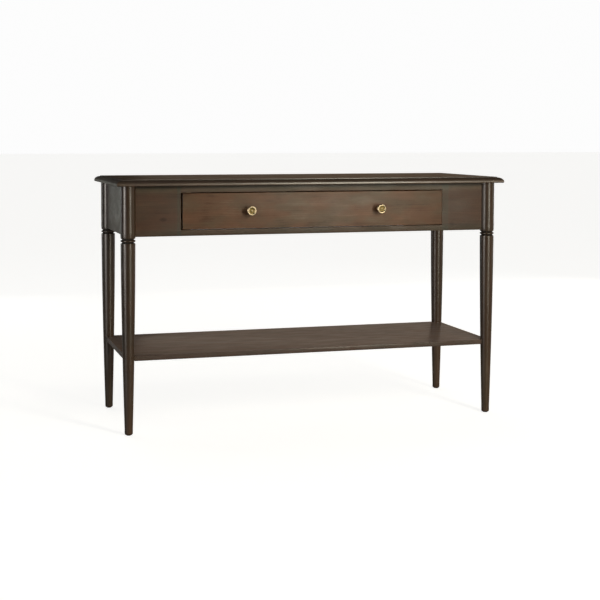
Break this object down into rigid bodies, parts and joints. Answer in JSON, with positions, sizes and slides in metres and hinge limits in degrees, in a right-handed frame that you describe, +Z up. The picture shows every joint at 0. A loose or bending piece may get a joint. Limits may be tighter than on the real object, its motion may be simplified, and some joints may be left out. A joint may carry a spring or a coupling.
{
  "type": "console table",
  "caption": "Narrow console table with turned tapered legs, a moulded-edge top, a wide inset drawer with ringed brass knobs and a plain lower shelf.",
  "frame": {"origin": "on the floor, under the middle of the table top", "axes": "+X to the right along the width as seen from the front, +Y from front to back, +Z up; the drawer opens towards -Y"},
  "size_m": [1.24, 0.48, 0.762],
  "materials": {
    "top_walnut": "satin dark walnut lacquer",
    "shelf_walnut": "satin dark walnut lacquer",
    "walnut": "satin dark walnut lacquer",
    "drawer_walnut": "satin dark walnut lacquer",
    "leg_walnut": "satin dark walnut lacquer",
    "plain_wood": "clear-sealed pale hardwood",
    "plywood": "clear-sealed birch plywood",
    "brass": "aged satin brass",
    "steel": "zinc-plated",
    "nylon": "moulded black nylon"
  },
  "bodies": {
    "table": {"top_panel": "top_walnut", "top_edge_front": "top_walnut", "top_edge_back": "top_walnut", "top_edge_left": "top_walnut", "top_edge_right": "top_walnut", "leg_front_left": "leg_walnut", "leg_front_right": "leg_walnut", "leg_back_left": "leg_walnut", "leg_back_right": "leg_walnut", "foot_glide_front_left": "nylon", "foot_glide_front_right": "nylon", "foot_glide_back_left": "nylon", "foot_glide_back_right": "nylon", "front_rail_top": "walnut", "front_rail_bottom": "walnut", "front_end_left": "walnut", "front_end_right": "walnut", "back_apron": "walnut", "side_apron_left": "walnut", "side_apron_right": "walnut", "corner_block_front_left": "plain_wood", "corner_block_front_right": "plain_wood", "corner_block_back_left": "plain_wood", "corner_block_back_right": "plain_wood", "top_screw_front_left": "steel", "top_screw_front_right": "steel", "top_screw_back_left": "steel", "top_screw_back_right": "steel", "top_screw_left": "steel", "top_screw_right": "steel", "shelf": "shelf_walnut", "shelf_dowel_front_left": "plain_wood", "shelf_dowel_front_right": "plain_wood", "shelf_dowel_back_left": "plain_wood", "shelf_dowel_back_right": "plain_wood", "drawer_runner_left": "plain_wood", "drawer_runner_right": "plain_wood", "drawer_guide_left": "plain_wood", "drawer_guide_right": "plain_wood", "drawer_kicker_left": "plain_wood", "drawer_kicker_right": "plain_wood", "drawer_stop_left": "plain_wood", "drawer_stop_right": "plain_wood", "drawer_out_stop": "plain_wood"},
    "drawer": {"drawer_front": "drawer_walnut", "drawer_side_left": "plain_wood", "drawer_side_right": "plain_wood", "drawer_back": "plain_wood", "drawer_bottom": "plywood", "drawer_tongue": "plain_wood", "knob_left": "brass", "knob_right": "brass", "knob_screw_left": "steel", "knob_screw_right": "steel"}
  },
  "joints": [
    {"name": "drawer_slide", "type": "slide", "parent": "table", "child": "drawer", "axis": [0, -1, 0], "range_m": [0, 0.3]}
  ]
}
